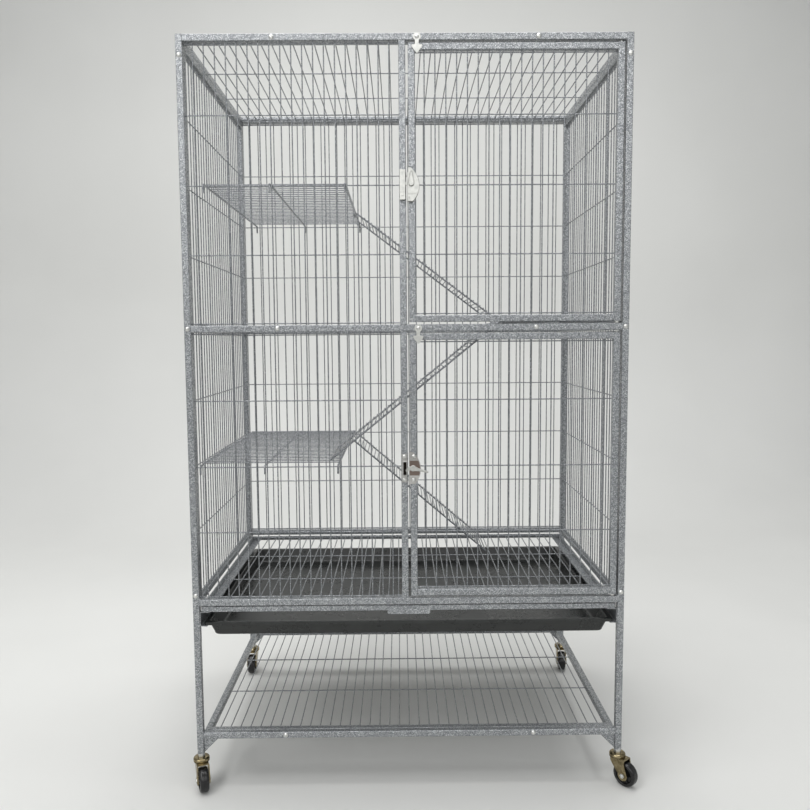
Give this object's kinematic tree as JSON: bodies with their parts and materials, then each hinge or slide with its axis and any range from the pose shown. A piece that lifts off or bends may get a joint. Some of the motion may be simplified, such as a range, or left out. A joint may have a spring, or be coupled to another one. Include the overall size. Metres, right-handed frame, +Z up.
{
  "type": "rolling wire pet cage",
  "caption": "Tall rolling bird cage of square tube and welded wire with two front doors, inner wire platforms and ramps, a slide-out grate and tray, and a low shelf.",
  "frame": {"origin": "on the floor, under the middle of the overall box, parked castors included", "axes": "+Z up, -Y towards the front with the doors, +X to the right seen from the front"},
  "size_m": [0.8252, 0.5628, 1.355],
  "materials": {
    "hammered_paint": "silver vein hammered powder coat, semi-gloss",
    "coated_wire": "silver powder coat, semi-gloss",
    "zinc_steel": "bright zinc plated",
    "bright_latch": "polished plated zinc casting",
    "yellow_zinc_steel": "dull zinc plated pressed steel",
    "black_plastic": "black moulded plastic, satin"
  },
  "bodies": {
    "cage": {"front_frame": "hammered_paint", "front_wires": "coated_wire", "back_frame": "hammered_paint", "back_wires": "coated_wire", "left_side_panel": "hammered_paint", "right_side_panel": "hammered_paint", "top_panel": "hammered_paint", "mid_frame": "hammered_paint", "shelf_panel": "hammered_paint", "frame_screws": "zinc_steel", "left_runner": "hammered_paint", "right_runner": "hammered_paint", "upper_platform": "coated_wire", "middle_platform": "coated_wire", "lower_platform": "coated_wire", "upper_keeper": "bright_latch", "lower_keeper": "bright_latch", "keeper_screws": "zinc_steel", "button_screws": "zinc_steel", "leg_plugs": "black_plastic", "castor_stems": "yellow_zinc_steel", "castor_nuts": "zinc_steel"},
    "upper_door_leaf": {"upper_door": "hammered_paint", "upper_door_pins": "zinc_steel", "upper_latch_case": "bright_latch"},
    "upper_bolt": {"upper_latch_bolt": "bright_latch"},
    "lower_door_leaf": {"lower_door": "hammered_paint", "lower_door_pins": "zinc_steel", "lower_latch_plate": "bright_latch", "lower_latch_screws": "zinc_steel"},
    "lower_lever": {"lower_latch_lever": "bright_latch"},
    "upper_turn_button": {"upper_button": "bright_latch"},
    "lower_turn_button": {"lower_button": "bright_latch"},
    "grate_drawer": {"grate": "coated_wire"},
    "tray_drawer": {"tray": "black_plastic"},
    "upper_ladder": {"upper_ramp": "coated_wire"},
    "middle_ladder": {"middle_ramp": "coated_wire"},
    "lower_ladder": {"lower_ramp": "coated_wire"},
    "front_left_swivel": {"front_left_fork": "yellow_zinc_steel", "front_left_axle": "zinc_steel"},
    "front_left_roller": {"front_left_wheel": "black_plastic"},
    "front_right_swivel": {"front_right_fork": "yellow_zinc_steel", "front_right_axle": "zinc_steel"},
    "front_right_roller": {"front_right_wheel": "black_plastic"},
    "back_left_swivel": {"back_left_fork": "yellow_zinc_steel", "back_left_axle": "zinc_steel"},
    "back_left_roller": {"back_left_wheel": "black_plastic"},
    "back_right_swivel": {"back_right_fork": "yellow_zinc_steel", "back_right_axle": "zinc_steel"},
    "back_right_roller": {"back_right_wheel": "black_plastic"}
  },
  "joints": [
    {"name": "upper_door_hinge", "type": "hinge", "parent": "cage", "child": "upper_door_leaf", "pos_m": [0.36541, -0.24159, 1.1], "axis": [0, 0, 1], "range_deg": [0, 105]},
    {"name": "lower_door_hinge", "type": "hinge", "parent": "cage", "child": "lower_door_leaf", "pos_m": [0.36541, -0.24159, 0.602], "axis": [0, 0, 1], "range_deg": [0, 105]},
    {"name": "upper_bolt_slide", "type": "slide", "parent": "upper_door_leaf", "child": "upper_bolt", "axis": [1, 0, 0], "range_m": [0, 0.0044], "stiffness_N_per_m": 150},
    {"name": "lower_lever_turn", "type": "hinge", "parent": "lower_door_leaf", "child": "lower_lever", "pos_m": [0.00071, -0.25189, 0.59957], "axis": [0, -1, 0], "range_deg": [0, 40], "stiffness_Nm_per_rad": 0.02},
    {"name": "upper_button_turn", "type": "hinge", "parent": "cage", "child": "upper_turn_button", "pos_m": [0.01141, -0.24914, 1.348], "axis": [0, 1, 0], "continuous": true},
    {"name": "lower_button_turn", "type": "hinge", "parent": "cage", "child": "lower_turn_button", "pos_m": [0.01141, -0.24914, 0.85], "axis": [0, 1, 0], "continuous": true},
    {"name": "grate_slide", "type": "slide", "parent": "cage", "child": "grate_drawer", "axis": [0, -1, 0], "range_m": [0, 0.42]},
    {"name": "tray_slide", "type": "slide", "parent": "cage", "child": "tray_drawer", "axis": [0, -1, 0], "range_m": [0, 0.4]},
    {"name": "upper_ramp_tip", "type": "hinge", "parent": "cage", "child": "upper_ladder", "pos_m": [-0.11559, 0.17221, 1.10295], "axis": [0, -1, 0], "range_deg": [0, 60]},
    {"name": "middle_ramp_tip", "type": "hinge", "parent": "cage", "child": "middle_ladder", "pos_m": [0.16341, -0.14739, 0.85885], "axis": [0, 1, 0], "range_deg": [0, 60]},
    {"name": "lower_ramp_tip", "type": "hinge", "parent": "cage", "child": "lower_ladder", "pos_m": [-0.13459, 0.17221, 0.60495], "axis": [0, -1, 0], "range_deg": [0, 60]},
    {"name": "front_left_swivel_turn", "type": "hinge", "parent": "cage", "child": "front_left_swivel", "pos_m": [-0.39759, -0.24159, 0.0527], "axis": [0, 0, 1], "continuous": true},
    {"name": "front_left_wheel_roll", "type": "hinge", "parent": "front_left_swivel", "child": "front_left_roller", "pos_m": [-0.39085, -0.25828, 0.0225], "axis": [0.9272, 0.3746, 0], "continuous": true},
    {"name": "front_right_swivel_turn", "type": "hinge", "parent": "cage", "child": "front_right_swivel", "pos_m": [0.38041, -0.24159, 0.0527], "axis": [0, 0, 1], "continuous": true},
    {"name": "front_right_wheel_roll", "type": "hinge", "parent": "front_right_swivel", "child": "front_right_roller", "pos_m": [0.39245, -0.25497, 0.0225], "axis": [0.7431, 0.6691, 0], "continuous": true},
    {"name": "back_left_swivel_turn", "type": "hinge", "parent": "cage", "child": "back_left_swivel", "pos_m": [-0.39759, 0.26641, 0.0527], "axis": [0, 0, 1], "continuous": true},
    {"name": "back_left_wheel_roll", "type": "hinge", "parent": "back_left_swivel", "child": "back_left_roller", "pos_m": [-0.39759, 0.24841, 0.0225], "axis": [1, 0, 0], "continuous": true},
    {"name": "back_right_swivel_turn", "type": "hinge", "parent": "cage", "child": "back_right_swivel", "pos_m": [0.38041, 0.26641, 0.0527], "axis": [0, 0, 1], "continuous": true},
    {"name": "back_right_wheel_roll", "type": "hinge", "parent": "back_right_swivel", "child": "back_right_roller", "pos_m": [0.37884, 0.24848, 0.0225], "axis": [0.9962, -0.0872, 0], "continuous": true}
  ]
}
